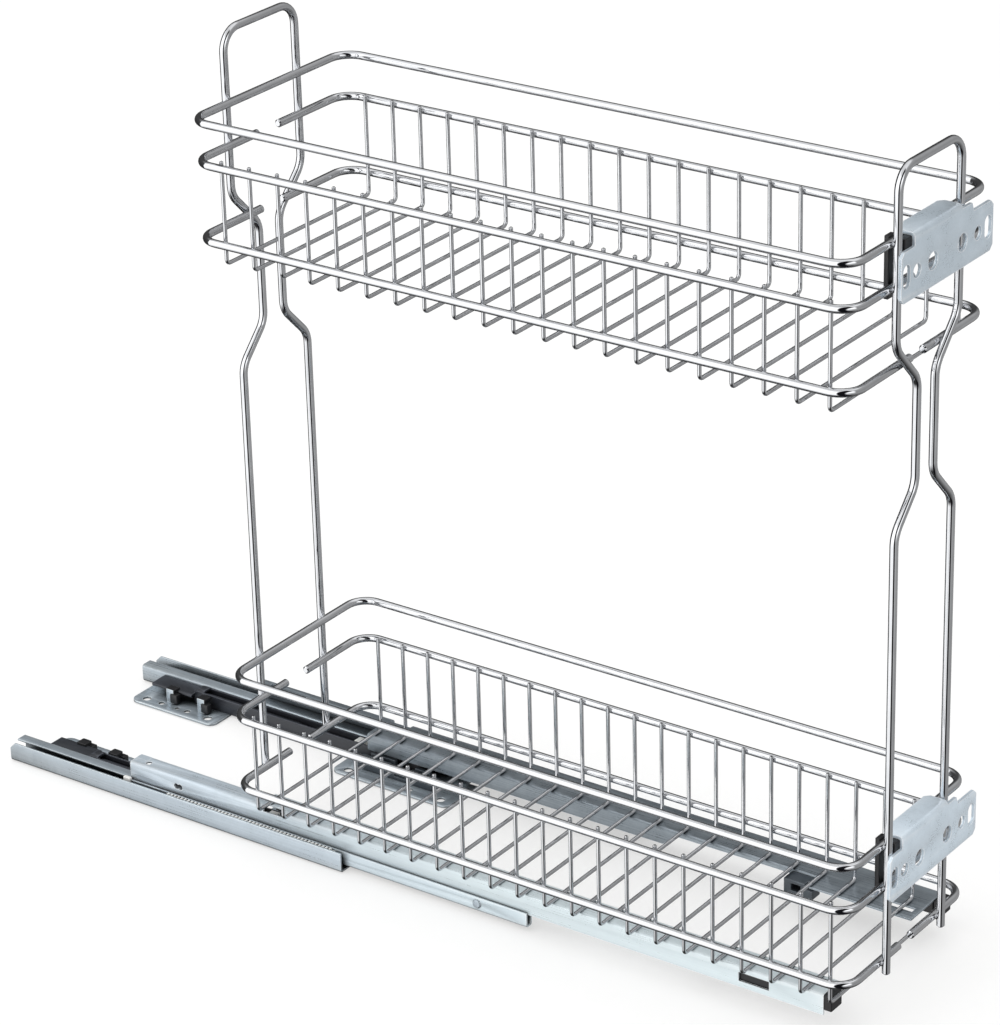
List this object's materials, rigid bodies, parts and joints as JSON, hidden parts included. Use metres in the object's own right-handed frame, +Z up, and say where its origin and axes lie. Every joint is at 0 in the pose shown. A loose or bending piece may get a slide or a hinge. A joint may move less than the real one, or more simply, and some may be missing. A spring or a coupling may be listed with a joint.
{
  "type": "pull-out cabinet basket",
  "caption": "Two-tier chrome wire basket on floor-mounted telescopic slides; pulls out of a narrow base cabinet and carries the cabinet door.",
  "frame": {"origin": "on the cabinet floor, under the middle of the part's box with the slides pulled out", "axes": "+X out of the cabinet along the travel, +Y towards the far slide, +Z up"},
  "size_m": [0.6554, 0.166, 0.5315],
  "materials": {
    "chrome_wire": "polished chromium-plated wire",
    "zinc_sheet": "bluish zinc-plated sheet, satin",
    "black_plastic": "matt black moulding",
    "grey_plastic": "satin grey moulding",
    "white_plastic": "satin white nylon",
    "dark_plastic": "satin dark violet-grey moulding",
    "bright_steel": "bright drawn steel"
  },
  "bodies": {
    "cabinet": {"near_cabinet_rail": "zinc_sheet", "far_cabinet_rail": "zinc_sheet", "near_rear_plate": "zinc_sheet", "far_rear_plate": "zinc_sheet", "near_front_plate": "zinc_sheet", "far_front_plate": "zinc_sheet", "near_plate_clips": "black_plastic", "far_plate_clips": "black_plastic", "near_guide_block": "grey_plastic", "far_guide_block": "grey_plastic", "near_damper_housing": "dark_plastic", "far_damper_housing": "dark_plastic", "near_damper_cylinder": "dark_plastic", "far_damper_cylinder": "dark_plastic"},
    "carriage": {"upper_top_rail": "chrome_wire", "upper_near_middle_rail": "chrome_wire", "upper_far_middle_rail": "chrome_wire", "upper_near_lower_rail": "chrome_wire", "upper_far_lower_rail": "chrome_wire", "upper_cross_wires": "chrome_wire", "lower_top_rail": "chrome_wire", "lower_near_middle_rail": "chrome_wire", "lower_far_middle_rail": "chrome_wire", "lower_near_lower_rail": "chrome_wire", "lower_far_lower_rail": "chrome_wire", "lower_cross_wires": "chrome_wire", "rear_frame": "chrome_wire", "front_frame": "chrome_wire", "upper_door_bracket": "zinc_sheet", "lower_door_bracket": "zinc_sheet", "upper_bracket_clips": "black_plastic", "lower_bracket_clips": "black_plastic", "near_drawer_rail": "zinc_sheet", "far_drawer_rail": "zinc_sheet", "near_end_plug": "black_plastic", "far_end_plug": "black_plastic", "near_stop_block": "grey_plastic", "far_stop_block": "grey_plastic", "near_rail_bumper": "white_plastic", "far_rail_bumper": "white_plastic"},
    "near_middle": {"near_middle_rail": "zinc_sheet", "near_rivet": "zinc_sheet"},
    "near_outer_cage_set": {"near_outer_cage": "white_plastic", "near_pins": "bright_steel"},
    "near_inner_cage_set": {"near_inner_cage": "white_plastic", "near_rollers": "white_plastic"},
    "near_trigger_set": {"near_trigger": "white_plastic", "near_damper_rod": "bright_steel"},
    "far_middle": {"far_middle_rail": "zinc_sheet", "far_rivet": "zinc_sheet"},
    "far_outer_cage_set": {"far_outer_cage": "white_plastic", "far_pins": "bright_steel"},
    "far_inner_cage_set": {"far_inner_cage": "white_plastic", "far_rollers": "white_plastic"},
    "far_trigger_set": {"far_trigger": "white_plastic", "far_damper_rod": "bright_steel"}
  },
  "joints": [
    {"name": "pull_out", "type": "slide", "parent": "cabinet", "child": "carriage", "axis": [1, 0, 0], "range_m": [-0.33, 0]},
    {"name": "near_middle_slide", "type": "slide", "parent": "cabinet", "child": "near_middle", "axis": [1, 0, 0], "range_m": [-0.165, 0]},
    {"name": "near_outer_cage_set_slide", "type": "slide", "parent": "cabinet", "child": "near_outer_cage_set", "axis": [1, 0, 0], "range_m": [-0.0825, 0]},
    {"name": "near_inner_cage_set_slide", "type": "slide", "parent": "cabinet", "child": "near_inner_cage_set", "axis": [1, 0, 0], "range_m": [-0.2475, 0]},
    {"name": "near_damper_stroke", "type": "slide", "parent": "cabinet", "child": "near_trigger_set", "axis": [1, 0, 0], "range_m": [-0.045, 0]},
    {"name": "far_middle_slide", "type": "slide", "parent": "cabinet", "child": "far_middle", "axis": [1, 0, 0], "range_m": [-0.165, 0]},
    {"name": "far_outer_cage_set_slide", "type": "slide", "parent": "cabinet", "child": "far_outer_cage_set", "axis": [1, 0, 0], "range_m": [-0.0825, 0]},
    {"name": "far_inner_cage_set_slide", "type": "slide", "parent": "cabinet", "child": "far_inner_cage_set", "axis": [1, 0, 0], "range_m": [-0.2475, 0]},
    {"name": "far_damper_stroke", "type": "slide", "parent": "cabinet", "child": "far_trigger_set", "axis": [1, 0, 0], "range_m": [-0.045, 0]}
  ],
  "couplings": [
    {"joint": "near_middle_slide", "follows": "pull_out", "ratio": 0.5},
    {"joint": "near_outer_cage_set_slide", "follows": "pull_out", "ratio": 0.25},
    {"joint": "near_inner_cage_set_slide", "follows": "pull_out", "ratio": 0.75},
    {"joint": "far_middle_slide", "follows": "pull_out", "ratio": 0.5},
    {"joint": "far_outer_cage_set_slide", "follows": "pull_out", "ratio": 0.25},
    {"joint": "far_inner_cage_set_slide", "follows": "pull_out", "ratio": 0.75}
  ]
}
